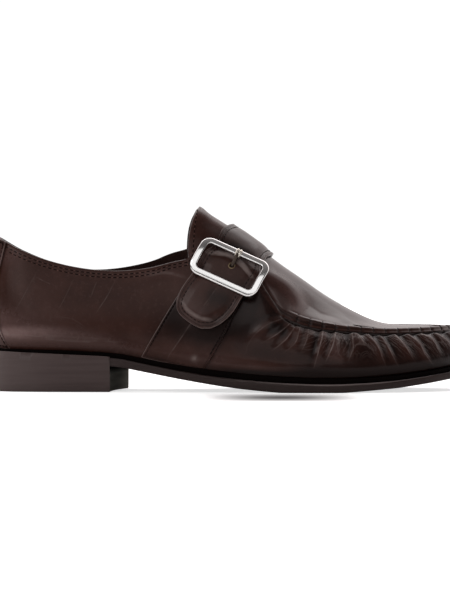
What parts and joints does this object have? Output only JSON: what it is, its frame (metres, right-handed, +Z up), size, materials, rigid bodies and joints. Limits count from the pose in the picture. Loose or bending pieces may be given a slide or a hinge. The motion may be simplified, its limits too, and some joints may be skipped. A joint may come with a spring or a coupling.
{
  "type": "loafer",
  "caption": "Right loafer with moccasin-seamed apron, leather sole, stacked heel and a strap and buckle over the instep; it is slipped on the foot.",
  "frame": {"origin": "on the floor under the middle of the shoe's bounding box", "axes": "+X to the toe, +Y to the inner (medial) side, +Z up"},
  "size_m": [0.3083, 0.1001, 0.1144],
  "materials": {
    "upper_leather": "dark brown glossy calf leather with fine creases",
    "sole_leather": "dark stained and waxed leather edge",
    "heel_leather": "dark stained stacked leather",
    "black_rand": "matt black edge",
    "lining_leather": "dark brown lining leather",
    "polished_metal": "polished silver-coloured metal",
    "brass": "aged brass"
  },
  "bodies": {
    "root": {"outsole": "sole_leather", "heel_block": "heel_leather", "rand": "black_rand", "insole": "lining_leather", "upper": "upper_leather", "back_strip": "upper_leather", "saddle_band": "upper_leather", "strap": "upper_leather", "buckle_frame": "polished_metal", "buckle_prong": "brass", "eyelet": "brass"}
  },
  "joints": []
}
